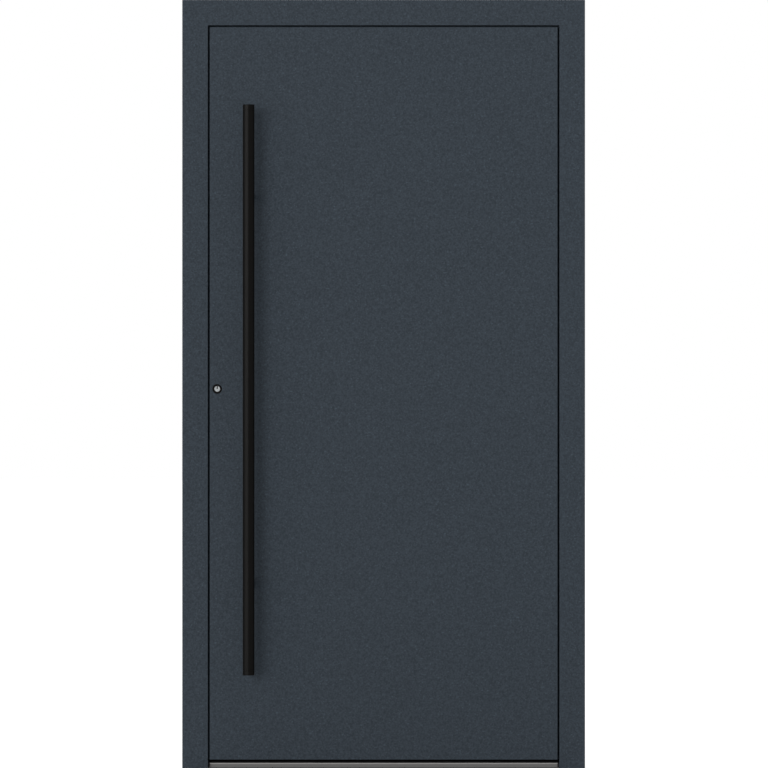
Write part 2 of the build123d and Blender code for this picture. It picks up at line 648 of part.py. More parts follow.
def standoff(height):
    """Post against the leaf, shaped to the bar at its outer end."""
    post = rod_y(STANDOFF_RADIUS, PULL_X, height, PULL_Y, OUTSIDE)
    return post - rod_z(PULL_RADIUS, PULL_X, PULL_Y, height - PULL_RADIUS, height + PULL_RADIUS)


def pull_bar():
    """Long round bar on two standoffs, outside."""
    bar_body = rod_z(PULL_RADIUS, PULL_X, PULL_Y, PULL_LOW, PULL_HIGH)
    posts = [standoff(height) for height in (PULL_LOW + STANDOFF_INSET, PULL_HIGH - STANDOFF_INSET)]
    return {
        "pull_bar": chamfer(bar_body.edges().filter_by(GeomType.CIRCLE), PULL_CHAMFER),
        "pull_bar_standoffs": Part() + posts,
    }


# Hinges
def knuckle(side, low, high):
    """Barrel section with the arm to its plate: side is 1 on the frame and -1 on the leaf."""
    arm = box(sorted((HINGE_X + side * ARM_NEAR, HINGE_X + side * ARM_FAR)),
              (INSIDE, INSIDE + HINGE_PLATE), (low, high))
    return rod_z(BARREL_RADIUS, HINGE_X, HINGE_Y, low, high) + arm


def hinge_plate(side, low, high):
    """Plate screwed to the inside face, with its two far corners cut."""
    near = HINGE_X + side * (BARREL_RADIUS + BARREL_CLEARANCE)
    plate = box(sorted((near, near + side * HINGE_PLATE_WIDTH)), (INSIDE, INSIDE + HINGE_PLATE), (low, high))
    corners = (plate.edges() | Axis.Y).sort_by(Axis.X, reverse=side > 0)[:2]
    return chamfer(corners, HINGE_PLATE_CORNER)


def hinge(middle):
    """One hinge: frame half with closed ends, leaf half and pin."""
    half_leaf = LEAF_KNUCKLE_HEIGHT / 2
    near = half_leaf + KNUCKLE_GAP
    far = near + KNUCKLE_HEIGHT
    pin_half = far - HINGE_CAP
    bore = rod_z(PIN_RADIUS + PIN_CLEARANCE, HINGE_X, HINGE_Y, middle - pin_half, middle + pin_half)
    frame_half = hinge_plate(1, middle - far, middle + far)
    frame_half += knuckle(1, middle - far, middle - near)
    frame_half += knuckle(1, middle + near, middle + far)
    leaf_half = hinge_plate(-1, middle - far, middle + far)
    leaf_half += knuckle(-1, middle - half_leaf, middle + half_leaf)
    pin = rod_z(PIN_RADIUS, HINGE_X, HINGE_Y, middle - pin_half, middle + pin_half)
    return frame_half - bore, leaf_half - bore, pin


def hinges():
    """Three hinges, one node for each half and one for all pins."""
    nodes = {}
    pins = []
    for name, height in HINGE_HEIGHTS.items():
        frame_half, leaf_half, pin = hinge(height)
        nodes[f"{name}_hinge_frame_half"] = frame_half
        nodes[f"{name}_hinge_leaf_half"] = leaf_half
        pins.append(pin)
    nodes["hinge_pins"] = Part() + pins
    return nodes


def door():
    """Every piece of the door by name."""
    nodes = {}
    for group in (frame_members(), strikes(), gaskets(), threshold(), leaf_members(), lock_parts(),
                  inside_handle(), pull_bar(), hinges()):
        nodes.update(group)
    return nodes


os.makedirs("parts", exist_ok=True)
for node_name, shape in door().items():
    export_step(shape, f"parts/{node_name}.step")
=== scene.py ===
"""Looks of the aluminium front door: finishes, small fittings, light and camera around the fixed frame."""
import json
import math

import bmesh
import bpy
from mathutils import Matrix, Vector


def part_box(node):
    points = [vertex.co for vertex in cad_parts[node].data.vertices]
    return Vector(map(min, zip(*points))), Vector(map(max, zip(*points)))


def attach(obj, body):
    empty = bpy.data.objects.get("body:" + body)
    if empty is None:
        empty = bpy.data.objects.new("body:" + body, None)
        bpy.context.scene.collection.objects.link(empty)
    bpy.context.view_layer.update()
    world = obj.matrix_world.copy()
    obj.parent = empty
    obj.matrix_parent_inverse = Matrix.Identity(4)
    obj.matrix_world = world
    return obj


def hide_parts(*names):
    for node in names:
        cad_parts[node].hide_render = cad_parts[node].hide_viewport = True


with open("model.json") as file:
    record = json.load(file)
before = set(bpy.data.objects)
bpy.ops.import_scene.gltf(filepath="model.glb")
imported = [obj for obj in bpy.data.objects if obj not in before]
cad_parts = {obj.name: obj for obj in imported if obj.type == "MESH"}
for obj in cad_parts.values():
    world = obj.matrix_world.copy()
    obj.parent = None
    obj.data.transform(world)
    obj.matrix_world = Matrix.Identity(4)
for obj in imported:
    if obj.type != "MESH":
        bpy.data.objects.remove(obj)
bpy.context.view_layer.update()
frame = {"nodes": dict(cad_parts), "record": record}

QUARTER = math.pi / 2
FULL_TURN = 2 * math.pi
SHARP_ANGLE = math.radians(32)
MERGE = 1e-6
FACES_UP = 0.9

# Places read from the frame
DOOR_LOW, DOOR_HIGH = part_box("hinge_jamb_outer_shell")
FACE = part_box("leaf_outer_skin")[0].y
INSIDE_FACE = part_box("leaf_inner_skin")[1].y
PLUG_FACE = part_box("lock_plug")[0].y


def middle(node):
    """Middle of a node's box."""
    low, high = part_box(node)
    return (low + high) / 2


# The photograph's framing, in its pixels
PHOTO_SIZE = 768.0
PHOTO_LEFT = 182.8
PHOTO_RIGHT = 584.46
PHOTO_TOP = -0.34
PHOTO_FOOT = 768.62
CAMERA_DISTANCE = 20.0

# Light: key in front, back key behind, and a strip for the highlight along the bar
SKY_LEVEL = 0.55
KEY_STRENGTH = 1.65
KEY_SPREAD = math.radians(27)
KEY_LEFT = math.radians(23)
KEY_RISE = math.radians(5)
STRIP_STRENGTH = 3.0
STRIP_SPREAD = math.radians(38)
STRIP_LEFT = math.radians(53)
STRIP_RISE = math.radians(3)
BACK_KEY_STRENGTH = 1.3
BACK_KEY_LEFT = math.radians(150)
BACK_KEY_RISE = math.radians(40)
FLOOR_RADIUS = 60.0
FLOOR_SIDES = 96
FLOOR_TONE = 0.8
FLOOR_SHOWN_TONE = 0.35
FLOOR_GLOW = 0.83

# Powder coat: shares of the grain's size, and how much each part of it changes the coat
FINE_GRAIN = 0.16
CLOUD = 40.0
CLOUD_CHANGE = 0.04
SPECK = 0.9
SPECK_START = 0.66
SPECK_FULL = 0.82
SHEEN_CHANGE = 0.15
GRAIN_HEIGHT = 0.4

# Drawn metal: stretch of its lines, and the soft edges of its painted highlight band and of its painted
# shade
LINE_STRETCH = 0.02
BAND_FOOT_FADE = 0.0006
BAND_HEAD_FADE = 0.0003
PAINTED_SHADE_FADE = 0.001

# Mottle: share of its size, and how much its cloud changes the sheen
FINE_MOTTLE = 0.06
MOTTLE_SHEEN = 0.4

# Screw heads, as shares of their radius and of their height
SCREW_HEIGHT = 0.34
SCREW_EDGE = 0.55
SOCKET_WIDTH = 0.46
SOCKET_DEPTH = 0.8

# Hinge screws and end caps
HINGES = ("bottom", "middle", "top")
HINGE_PLATE = 0.006
HINGE_SCREW_RADIUS = 0.0052
HINGE_SCREW_EDGE = 0.012
HINGE_SCREW_RISES = (-0.061, -0.024, 0.024, 0.061)
BARREL_CAP_RADIUS = 0.0096
BARREL_CAP_HEIGHT = 0.0028
BARREL_CAP_STEPS = 6
BARREL_CAP_SIDES = 32

# Corner pads
PAD_BREAK = 0.0004

# Lock and strike screws
LOCK_SCREW_RADIUS = 0.0036
FACEPLATE_SCREW_INSETS = (0.012, 0.12)
CASE_SCREW_GAP = 0.034
STRIKE_PLATE_HEIGHT = 0.08
STRIKE_SCREW_INSET = 0.010

# Anchor covers
ANCHOR_INSETS = (0.25, 0.75)
ANCHOR_COVER = 0.0175
ANCHOR_COVER_THICKNESS = 0.0012
BAR_FLARE = 0.001

# Cover shape, as shares of its width and of its thickness
COVER_CORNER = 0.18
COVER_RIM = 0.12
COVER_EDGE = 0.4
COVER_DISH = 0.25

# Keyways of the cylinder
WARD_THICKNESS = 0.0008
WARD_WIDTH = 0.0009
WARD_RISES = (0.0022, 0.0050)
WARD_EDGE = 0.25
KEYWAY_HALF = 0.0015
WARD_DEPTH = 0.022
WARD_INSET = 0.003
# Depth behind the plug's face where the painted shade inside the keyway begins
KEYWAY_SHADE_START = 0.0012

# Rosettes and lever
ROSETTE_RIM = 0.0018
ROSETTE_RIM_STEPS = 5
COLLAR_RADIUS = 0.0122
COLLAR_RISE = 0.0012
GRUB_RADIUS = 0.0024
GRUB_REACH = 0.012
GRUB_SUNK = 0.0003
GRUB_SIDES = 12

# Pull bar
BAR_SIDES = 72
BAR_CAP = 0.0135
BAR_CAP_BREAK = 0.0012
BAR_SEAM = 0.0005
STANDOFF_RADIUS = 0.010
FLANGE_RADIUS = 0.0142
FLANGE = 0.004
FLANGE_BREAK = 0.0008
FLANGE_FIT = 0.0001
FLANGE_SIDES = 48


def srgb(red, green, blue):
    """Linear colour of a screen colour given from 0 to 255."""
    def linear(level):
        level /= 255.0
        return level / 12.92 if level <= 0.04045 else ((level + 0.055) / 1.055) ** 2.4
    return (linear(red), linear(green), linear(blue), 1.0)


# Node helpers
def add(tree, kind, **settings):
    """New node with its settings and input values."""
    node = tree.nodes.new(kind)
    for key, value in settings.items():
        if key in node.inputs:
            node.inputs[key].default_value = value
        else:
            setattr(node, key, value)
    return node


def link(tree, source, target):
    """Joins an output to an input."""
    tree.links.new(source, target)


def maths(tree, operation, first, second):
    """Math node on two values or sockets."""
    node = add(tree, "ShaderNodeMath", operation=operation)
    for slot, value in enumerate((first, second)):
        if isinstance(value, (int, float)):
            node.inputs[slot].default_value = value
        else:
            link(tree, value, node.inputs[slot])
    return node.outputs[0]


def swing(tree, value, amount):
    """A value from 0 to 1 made to swing about zero by the amount given."""
    return maths(tree, "MULTIPLY", maths(tree, "SUBTRACT", value, 0.5), amount)


def ramp(tree, value, start, width):
    """0 up to the start value, rising to 1 over the width."""
    node = tree.nodes.new("ShaderNodeMapRange")
    link(tree, value, node.inputs["Value"])
    link(tree, start, node.inputs["From Min"])
    link(tree, maths(tree, "ADD", start, width), node.inputs["From Max"])
    return node.outputs["Result"]


def tint(tree, colour, factor):
    """Colour multiplied by a factor."""
    node = add(tree, "ShaderNodeVectorMath", operation="SCALE")
    link(tree, colour, node.inputs[0])
    link(tree, factor, node.inputs["Scale"])
    return node.outputs[0]


def noise(tree, place, size, detail=2.0, rough=0.5):
    """Noise whose features are about as large as size, in metres."""
    node = add(tree, "ShaderNodeTexNoise", Detail=detail, Roughness=rough)
    link(tree, maths(tree, "DIVIDE", 1.0, size), node.inputs["Scale"])
    link(tree, place, node.inputs["Vector"])
    return node.outputs["Fac"]


def effect(name, **values):
    """Empty effect with a place, a colour and named values, and its two end nodes."""
    tree = bpy.data.node_groups.new(name, "ShaderNodeTree")
    tree.interface.new_socket("Place", in_out="INPUT", socket_type="NodeSocketVector")
    tree.interface.new_socket("Colour", in_out="INPUT", socket_type="NodeSocketColor")
    for label, value in values.items():
        socket = tree.interface.new_socket(label, in_out="INPUT", socket_type="NodeSocketFloat")
        socket.default_value = value
    tree.interface.new_socket("Colour", in_out="OUTPUT", socket_type="NodeSocketColor")
    tree.interface.new_socket("Roughness", in_out="OUTPUT", socket_type="NodeSocketFloat")
    tree.interface.new_socket("Height", in_out="OUTPUT", socket_type="NodeSocketFloat")
    return tree, tree.nodes.new("NodeGroupInput").outputs, tree.nodes.new("NodeGroupOutput").inputs


# Effects that more than one finish uses
def powder_grain():
    """Fine-texture powder coat: mottled grain, a few paler specks, and the height of its skin."""
    tree, given, made = effect("powder_grain", Grain=0.006, Contrast=1.0, Speck=0.3, Roughness=0.7)
    grain = noise(tree, given["Place"], given["Grain"], detail=1.0)
    fine = noise(tree, given["Place"], maths(tree, "MULTIPLY", given["Grain"], FINE_GRAIN), detail=1.0)
    cloud = noise(tree, given["Place"], maths(tree, "MULTIPLY", given["Grain"], CLOUD))
    speck_seed = noise(tree, given["Place"], maths(tree, "MULTIPLY", given["Grain"], SPECK), detail=0.0)
    speck = add(tree, "ShaderNodeMapRange", **{"From Min": SPECK_START, "From Max": SPECK_FULL})
    link(tree, speck_seed, speck.inputs["Value"])
    tone = maths(tree, "MULTIPLY", swing(tree, grain, 1.0), given["Contrast"])
    tone = maths(tree, "ADD", tone, maths(tree, "MULTIPLY", speck.outputs["Result"], given["Speck"]))
    tone = maths(tree, "ADD", tone, swing(tree, cloud, CLOUD_CHANGE))
    link(tree, tint(tree, given["Colour"], maths(tree, "ADD", tone, 1.0)), made["Colour"])
    link(tree, maths(tree, "ADD", given["Roughness"], swing(tree, fine, SHEEN_CHANGE)), made["Roughness"])
    link(tree, maths(tree, "ADD", maths(tree, "MULTIPLY", grain, GRAIN_HEIGHT), fine), made["Height"])
    return tree


def drawn_lines():
    """Long fine lines of drawn metal, along X of the place given, with a painted highlight in a band above
    one height of it and painted shade below another."""
    tree, given, made = effect("drawn_lines", Pitch=0.0006, Contrast=0.2, Roughness=0.35, Rim=1.0,
                               Band=1.0, Wear=0.0, Foot=0.0, Soil=0.0)
    stretch = add(tree, "ShaderNodeVectorMath", operation="MULTIPLY")
    stretch.inputs[1].default_value = (LINE_STRETCH, 1.0, 1.0)
    link(tree, given["Place"], stretch.inputs[0])
    lines = noise(tree, stretch.outputs[0], given["Pitch"], detail=3.0, rough=0.6)
    tone = maths(tree, "MULTIPLY", swing(tree, lines, 1.0), given["Contrast"])
    place = tree.nodes.new("ShaderNodeSeparateXYZ")
    link(tree, given["Place"], place.inputs[0])
    height = place.outputs["Z"]
    # Painted highlight: the colour is made brighter in the band from Rim up to Rim plus Band
    above_foot = ramp(tree, height, given["Rim"], BAND_FOOT_FADE)
    above_head = ramp(tree, height, maths(tree, "ADD", given["Rim"], given["Band"]), BAND_HEAD_FADE)
    painted_highlight = maths(tree, "MULTIPLY", maths(tree, "SUBTRACT", above_foot, above_head), given["Wear"])
    # Painted shade: the colour is made darker below the Foot height
    unshaded = ramp(tree, height, given["Foot"], PAINTED_SHADE_FADE)
    painted_shade = maths(tree, "MULTIPLY", maths(tree, "SUBTRACT", 1.0, unshaded), given["Soil"])
    shade = maths(tree, "SUBTRACT", maths(tree, "ADD", maths(tree, "ADD", tone, 1.0), painted_highlight), painted_shade)
    link(tree, tint(tree, given["Colour"], shade), made["Colour"])
    link(tree, maths(tree, "ADD", given["Roughness"], tone), made["Roughness"])
    link(tree, lines, made["Height"])
    return tree


def mottle():
    """Soft cloudy change of tone and sheen, of rubber, plastic, foam and satin coats."""
    tree, given, made = effect("mottle", Size=0.01, Contrast=0.3, Roughness=0.5)
    cloud = noise(tree, given["Place"], given["Size"], detail=3.0)
    fine = noise(tree, given["Place"], maths(tree, "MULTIPLY", given["Size"], FINE_MOTTLE))
    tone = maths(tree, "MULTIPLY", swing(tree, cloud, 1.0), given["Contrast"])
    link(tree, tint(tree, given["Colour"], maths(tree, "ADD", tone, 1.0)), made["Colour"])
    sheen = maths(tree, "MULTIPLY", tone, MOTTLE_SHEEN)
    link(tree, maths(tree, "ADD", given["Roughness"], sheen), made["Roughness"])
    link(tree, fine, made["Height"])
    return tree


POWDER_GRAIN = powder_grain()
DRAWN_LINES = drawn_lines()
MOTTLE = mottle()


def finish(name, pattern, colour, bump, depth, metallic=0.0, specular=0.5, turn=(0, 0, 0), **values):
    """Material whose colour, roughness and height come from one effect."""
    material = bpy.data.materials.new(name)
    material.use_nodes = True
    tree = material.node_tree
    shader = tree.nodes["Principled BSDF"]
    shader.inputs["Metallic"].default_value = metallic
    shader.inputs["Specular IOR Level"].default_value = specular
    mapping = add(tree, "ShaderNodeMapping", Rotation=turn)
    link(tree, add(tree, "ShaderNodeTexCoord").outputs["Object"], mapping.inputs["Vector"])
    group = add(tree, "ShaderNodeGroup", node_tree=pattern)
    link(tree, mapping.outputs["Vector"], group.inputs["Place"])
    group.inputs["Colour"].default_value = colour
    for label, value in values.items():
        group.inputs[label].default_value = value
    link(tree, group.outputs["Colour"], shader.inputs["Base Color"])
    link(tree, group.outputs["Roughness"], shader.inputs["Roughness"])
    height = add(tree, "ShaderNodeBump", Strength=bump, Distance=depth)
    link(tree, group.outputs["Height"], height.inputs["Height"])
    link(tree, height.outputs["Normal"], shader.inputs["Normal"])
    return material


FINISHES = {
    "anthracite_coat": finish("anthracite_coat", POWDER_GRAIN, srgb(51.5, 59, 66.4), bump=0.35, depth=0.0003,
                              specular=0.1, Grain=0.0048, Contrast=0.95, Speck=0.46, Roughness=0.75),
    "hinge_coat": finish("hinge_coat", POWDER_GRAIN, srgb(51.5, 59, 66.4), bump=0.3, depth=0.0002,
                         specular=0.2, Grain=0.003, Contrast=0.5, Speck=0.2, Roughness=0.6),
    "black_coat": finish("black_coat", MOTTLE, srgb(16, 15.5, 15), bump=0.15, depth=0.0002,
                         specular=0.03, Size=0.02, Contrast=0.3, Roughness=0.3),
    # The band along the threshold's nose is a painted highlight, and its darker foot is painted shade where
    # it meets the floor
    "threshold_metal": finish("threshold_metal", DRAWN_LINES, srgb(96, 95, 94), bump=0.1, depth=0.0001,
                              metallic=0.35, specular=0.1, Pitch=0.0008, Contrast=0.25, Roughness=0.5,
                              Rim=0.0117, Band=0.0022, Wear=1.4, Foot=0.0024, Soil=0.85),
    # Deeper in the keyway than a little behind the plug's face, the metal is painted dark: painted shade in
    # the slot
    "cylinder_metal": finish("cylinder_metal", DRAWN_LINES, srgb(128, 131, 132), bump=0.1, depth=0.00005,
                             metallic=1.0, turn=(-QUARTER, 0, 0), Pitch=0.0004, Contrast=0.2,
                             Roughness=0.32, Foot=-PLUG_FACE - KEYWAY_SHADE_START, Soil=0.9),
    "lock_steel": finish("lock_steel", DRAWN_LINES, srgb(170, 170, 168), bump=0.1, depth=0.00005,
                         metallic=1.0, turn=(0, QUARTER, 0), Pitch=0.0005, Contrast=0.25, Roughness=0.34),
    "seal_rubber": finish("seal_rubber", MOTTLE, srgb(10, 10, 10), bump=0.2, depth=0.0002,
                          specular=0.04, Size=0.015, Contrast=0.5, Roughness=0.8),
    "black_plastic": finish("black_plastic", MOTTLE, srgb(38, 38, 39), bump=0.25, depth=0.0003,
                            specular=0.06, Size=0.008, Contrast=0.5, Roughness=0.65),
    "foam": finish("foam", MOTTLE, srgb(214, 206, 178), bump=0.5, depth=0.001,
                   Size=0.004, Contrast=0.2, Roughness=0.9),
}


def dress_frame():
    """Gives each CAD node the finish of its slot."""
    slots = {row["node"]: row["material_slot"] for row in frame["record"]["subparts"]}
    for name, node in frame["nodes"].items():
        node.data.materials.clear()
        node.data.materials.append(FINISHES[slots[name]])


# Shapes of the small fittings
def piece(name, shape, finish_name, body):
    """Object at the origin from a finished shape, smooth but for its sharp edges, riding on a body."""
    bmesh.ops.recalc_face_normals(shape, faces=shape.faces)
    mesh = bpy.data.meshes.new(name)
    shape.to_mesh(mesh)
    shape.free()
    mesh.shade_smooth()
    mesh.set_sharp_from_angle(angle=SHARP_ANGLE)
    mesh.materials.append(FINISHES[finish_name])
    made = bpy.data.objects.new(name, mesh)
    bpy.context.scene.collection.objects.link(made)
    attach(made, body)
    return made


def seat(x, y, z, facing):
    """Place whose own Z axis points the way given."""
    return Matrix.Translation((x, y, z)) @ Vector(facing).to_track_quat("Z", "Y").to_matrix().to_4x4()


def copies(pattern, places):
    """One shape that holds a copy of the pattern at each place."""
    mesh = bpy.data.meshes.new("pattern")
    pattern.to_mesh(mesh)
    pattern.free()
    shape = bmesh.new()
    for place in places:
        start = len(shape.verts)
        shape.from_mesh(mesh)
        shape.verts.ensure_lookup_table()
        bmesh.ops.transform(shape, matrix=place, verts=shape.verts[start:])
    bpy.data.meshes.remove(mesh)
    return shape


def turned(points, sides, closed=False):
    """Solid turned about Z from its half outline, each point a radius and a height."""
    shape = bmesh.new()
    verts = [shape.verts.new((radius, 0, height)) for radius, height in points]
    ends = verts[1:] + verts[:1] if closed else verts[1:]
    edges = [shape.edges.new(pair) for pair in zip(verts, ends)]
    bmesh.ops.spin(shape, geom=verts + edges, cent=(0, 0, 0), axis=(0, 0, 1), angle=FULL_TURN, steps=sides,
                   use_merge=True)
    bmesh.ops.remove_doubles(shape, verts=shape.verts, dist=MERGE)
    return shape


def top_face(shape):
    """Highest face that looks up."""
    shape.normal_update()
    return max((face for face in shape.faces if face.normal.z > FACES_UP),
               key=lambda face: face.calc_center_median().z)


def bevel(shape, edges, offset, segments):
    """Rounds the edges given."""
    bmesh.ops.bevel(shape, geom=list(edges), offset=offset, segments=segments, profile=0.5, affect="EDGES",
                    material=-1)


def socket_screw(radius, sides=24):
    """Low screw head with a hexagonal socket, seated at the origin and facing along Z."""
    height = radius * SCREW_HEIGHT
    edge = height * SCREW_EDGE
    socket = radius * SOCKET_WIDTH
    shape = bmesh.new()
    bmesh.ops.create_cone(shape, cap_ends=True, segments=sides, radius1=radius, radius2=radius, depth=height,
                          matrix=Matrix.Translation((0, 0, height / 2)))
    bevel(shape, top_face(shape).edges, edge, 3)
    crown = top_face(shape)
    bmesh.ops.inset_region(shape, faces=[crown], thickness=radius - edge - socket)
    sixth = FULL_TURN / 6
    for vert in crown.verts:
        turn = math.atan2(vert.co.y, vert.co.x) % sixth - sixth / 2
        vert.co.xy *= math.cos(sixth / 2) / math.cos(turn)
    floor = bmesh.ops.extrude_discrete_faces(shape, faces=[crown])["faces"][0]
    bmesh.ops.translate(shape, verts=floor.verts, vec=(0, 0, -SOCKET_DEPTH * height))
    return shape


def cover_cap(width, thickness):
    """Square cover with round corners, a soft rim and a dished middle, seated at the origin."""
    shape = bmesh.new()
    size = Matrix.Diagonal((width, width, thickness, 1))
    bmesh.ops.create_cube(shape, size=1.0, matrix=Matrix.Translation((0, 0, thickness / 2)) @ size)
    corners = [edge for edge in shape.edges if abs(edge.verts[0].co.z - edge.verts[1].co.z) > thickness / 2]
    bevel(shape, corners, width * COVER_CORNER, 4)
    bevel(shape, top_face(shape).edges, thickness * COVER_EDGE, 2)
    dish = top_face(shape)
    bmesh.ops.inset_region(shape, faces=[dish], thickness=width * COVER_RIM, depth=-thickness * COVER_DISH)
    return shape


def rib(width, length, thickness):
    """Bar along Y with soft edges, centred on its start."""
    shape = bmesh.new()
    size = Matrix.Diagonal((width, length, thickness, 1))
    bmesh.ops.create_cube(shape, size=1.0, matrix=Matrix.Translation((0, length / 2, 0)) @ size)
    bevel(shape, shape.edges, thickness * WARD_EDGE, 2)
    return shape


# Fittings
def hinge_fittings():
    """Screws of both hinge halves, and the domed ends of the barrels."""
    frame_places = []
    leaf_places = []
    cap_places = []
    face = INSIDE_FACE + HINGE_PLATE
    pin = middle("hinge_pins")
    for name in HINGES:
        frame_low, frame_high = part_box(f"{name}_hinge_frame_half")
        leaf_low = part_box(f"{name}_hinge_leaf_half")[0]
        height = (frame_low.z + frame_high.z) / 2
        for rise in HINGE_SCREW_RISES:
            frame_places.append(seat(frame_high.x - HINGE_SCREW_EDGE, face, height + rise, (0, 1, 0)))
            leaf_places.append(seat(leaf_low.x + HINGE_SCREW_EDGE, face, height + rise, (0, 1, 0)))
        cap_places.append(seat(pin.x, pin.y, frame_high.z, (0, 0, 1)))
        cap_places.append(seat(pin.x, pin.y, frame_low.z, (0, 0, -1)))
    for name, places, body in (("hinge_frame_screws", frame_places, "frame"),
                               ("hinge_leaf_screws", leaf_places, "leaf")):
        piece(name, copies(socket_screw(HINGE_SCREW_RADIUS), places), "hinge_coat", body)
    turns = [QUARTER * step / BARREL_CAP_STEPS for step in range(BARREL_CAP_STEPS + 1)]
    dome = [(BARREL_CAP_RADIUS * math.sin(turn), BARREL_CAP_HEIGHT * math.cos(turn)) for turn in turns]
    cap = turned(dome + [(0, 0)], BARREL_CAP_SIDES)
    piece("hinge_barrel_caps", copies(cap, cap_places), "hinge_coat", "frame")


def corner_pads():
    """Rubber pads that close the feet of the stiles, level with the seal under the leaf."""
    low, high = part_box("leaf_bottom_seal")
    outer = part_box("leaf_insulation")[1].x
    pad = bmesh.new()
    size = Matrix.Diagonal((outer - high.x, high.y - low.y, high.z - low.z, 1))
    bmesh.ops.create_cube(pad, size=1.0, matrix=size)
    bevel(pad, pad.edges, PAD_BREAK, 2)
    seat_x = (outer + high.x) / 2
    places = [Matrix.Translation((side * seat_x, (low.y + high.y) / 2, (low.z + high.z) / 2))
              for side in (-1, 1)]
    piece("leaf_corner_pads", copies(pad, places), "seal_rubber", "leaf")


def lock_fittings():
    """Screws of the lock's faceplate and of the strikes, and the wards in both keyways."""
    low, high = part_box("lock_faceplate")
    depth = middle("lock_faceplate").y
    bolt = middle("lock_plug").z
    latch = 2 * middle("latch_strike").z - bolt
    heights = [low.z + inset for inset in FACEPLATE_SCREW_INSETS]
    heights += [high.z - inset for inset in FACEPLATE_SCREW_INSETS]
    heights += [bolt - CASE_SCREW_GAP, (bolt + latch) / 2, latch + CASE_SCREW_GAP]
    places = [seat(low.x, depth, height, (-1, 0, 0)) for height in heights]
    piece("faceplate_screws", copies(socket_screw(LOCK_SCREW_RADIUS), places), "lock_steel", "leaf")

    strike_low, strike_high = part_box("latch_strike")
    pair_low, pair_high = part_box("bolt_strikes")
    plates = [(strike_low.z, strike_high.z), (pair_low.z, pair_low.z + STRIKE_PLATE_HEIGHT),
              (pair_high.z - STRIKE_PLATE_HEIGHT, pair_high.z)]
    heights = [height for foot, head in plates
               for height in (foot + STRIKE_SCREW_INSET, head - STRIKE_SCREW_INSET)]
    places = [seat(strike_high.x, depth, height, (1, 0, 0)) for height in heights]
    piece("strike_screws", copies(socket_screw(LOCK_SCREW_RADIUS), places), "lock_steel", "frame")

    keyway = middle("lock_plug")
    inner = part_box("lock_cylinder")[1].y
    side = KEYWAY_HALF - WARD_WIDTH / 2
    for name, body, start in (("outer_keyway_wards", "lock_plug", PLUG_FACE + WARD_INSET),
                              ("inner_keyway_wards", "leaf", inner - WARD_INSET - WARD_DEPTH)):
        places = [Matrix.Translation((keyway.x + way * side, start, keyway.z + rise))
                  for way, rise in zip((-1, 1), WARD_RISES)]
        piece(name, copies(rib(WARD_WIDTH, WARD_DEPTH, WARD_THICKNESS), places), "cylinder_metal", body)


def anchor_covers():
    """Plastic covers over the slots in the jambs that the wall anchors pass through."""
    depth = middle("hinge_jamb_insulation").y
    hinge_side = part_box("hinge_jamb_insulation")[0].x + BAR_FLARE
    lock_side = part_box("lock_jamb_insulation")[1].x - BAR_FLARE
    heights = [DOOR_LOW.z + inset for inset in ANCHOR_INSETS]
    heights += [DOOR_HIGH.z - inset for inset in ANCHOR_INSETS]
    places = [seat(hinge_side, depth, height, (-1, 0, 0)) for height in heights]
    places += [seat(lock_side, depth, height, (1, 0, 0)) for height in heights]
    cover = cover_cap(ANCHOR_COVER, ANCHOR_COVER_THICKNESS)
    piece("anchor_covers", copies(cover, places), "black_plastic", "frame")


def rosettes():
    """Round cover plates of lever and cylinder, with soft rims and a collar at the lever's neck."""
    turns = [QUARTER * step / ROSETTE_RIM_STEPS for step in range(ROSETTE_RIM_STEPS + 1)]
    for node, collar in (("cylinder_rosette", []), ("lever_rosette", [COLLAR_RISE])):
        low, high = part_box(node)
        centre = middle(node)
        radius = (high.x - low.x) / 2
        depth = high.y - low.y
        points = [(0, 0), (radius, 0)]
        points += [(radius - ROSETTE_RIM * (1 - math.cos(turn)), depth - ROSETTE_RIM * (1 - math.sin(turn)))
                   for turn in turns]
        for rise in collar:
            points += [(COLLAR_RADIUS, depth), (COLLAR_RADIUS, depth + rise)]
            depth += rise
        place = seat(centre.x, low.y, centre.z, (0, 1, 0))
        disc = turned(points + [(0, depth)], BAR_SIDES)
        plate = piece(f"{node}_plate", copies(disc, [place]), "black_coat", "leaf")
        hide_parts(node)


def lever_grub_screw():
    """Small screw under the lever's neck that holds it on its spindle."""
    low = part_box("lever_handle")[0]
    neck = middle("lever_rosette")
    place = seat(neck.x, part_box("lever_rosette")[1].y + GRUB_REACH, low.z + GRUB_SUNK, (0, 0, -1))
    screw = copies(socket_screw(GRUB_RADIUS, GRUB_SIDES), [place])
    piece("lever_grub_screw", screw, "lock_steel", "leaf")


def bar_length(foot, head, radius, foot_break, head_break):
    """Half outline of a round bar with both its ends broken."""
    return [(0, foot), (radius - foot_break, foot), (radius, foot + foot_break), (radius, head - head_break),
            (radius - head_break, head), (0, head)]


